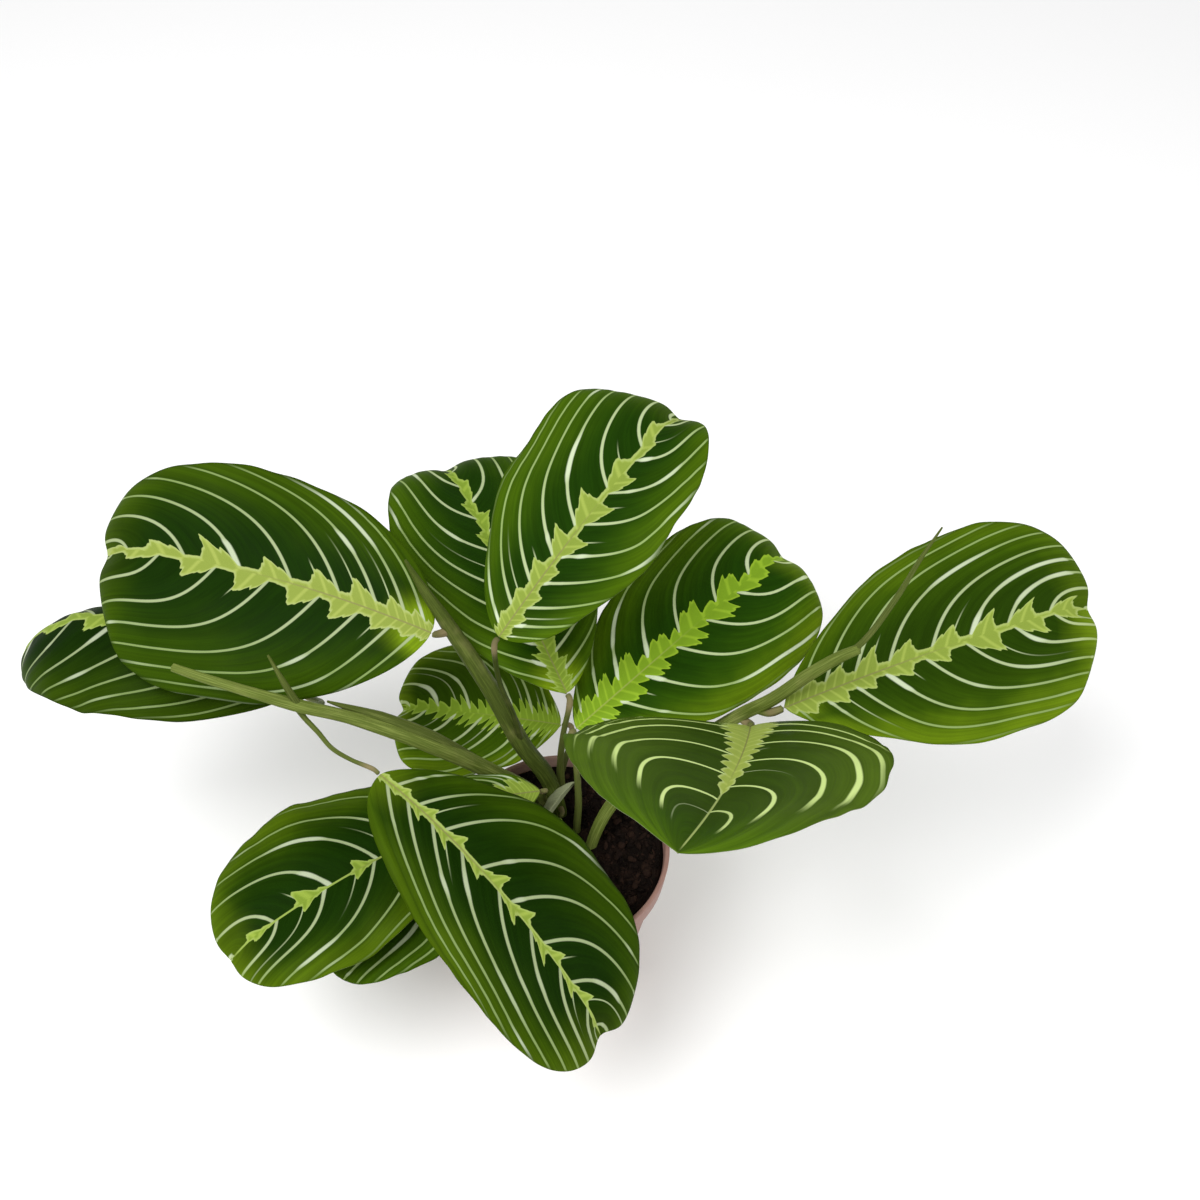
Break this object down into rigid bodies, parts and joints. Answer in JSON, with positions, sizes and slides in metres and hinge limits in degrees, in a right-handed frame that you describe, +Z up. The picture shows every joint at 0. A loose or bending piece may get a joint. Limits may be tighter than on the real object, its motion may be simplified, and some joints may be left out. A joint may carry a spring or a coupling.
{
  "type": "potted prayer plant",
  "caption": "Prayer plant (Maranta) with broad oval leaves on arching shoots, lime-feathered midribs and pale veins, growing in a small plain tapered pot of soil.",
  "frame": {"origin": "centre of the pot's flat underside, where it rests", "axes": "+Z up along the pot's axis, -Y towards the side seen in the picture, +X to the right of it"},
  "size_m": [0.4976, 0.2729, 0.2398],
  "materials": {
    "pot_clay": "matte terracotta-coloured plastic",
    "soil": "damp dark potting soil",
    "leaf_green": "satin leaf, dark green with lime midrib feather and pale veins",
    "leaf_underside": "matt grey-green leaf underside",
    "stem_olive": "satin olive-green stem"
  },
  "bodies": {
    "root": {"pot": "pot_clay", "soil": "soil", "leaf_left_upper": "leaf_green", "leaf_back": "leaf_green", "leaf_top": "leaf_green", "leaf_right_inner": "leaf_green", "leaf_right_outer": "leaf_green", "leaf_front_right": "leaf_green", "leaf_left_outer": "leaf_green", "leaf_front_left": "leaf_green", "leaf_front": "leaf_green", "leaf_back_small": "leaf_green", "leaf_front_low": "leaf_green", "leaf_crown_small": "leaf_green", "leaf_soil_small": "leaf_green", "leaf_new_folded": "leaf_underside", "shoot_back": "stem_olive", "shoot_left": "stem_olive", "shoot_right": "stem_olive", "stem_back": "stem_olive", "stem_inner": "stem_olive", "stem_front_left": "stem_olive", "stem_front_low": "stem_olive", "stem_crown": "stem_olive"}
  },
  "joints": []
}
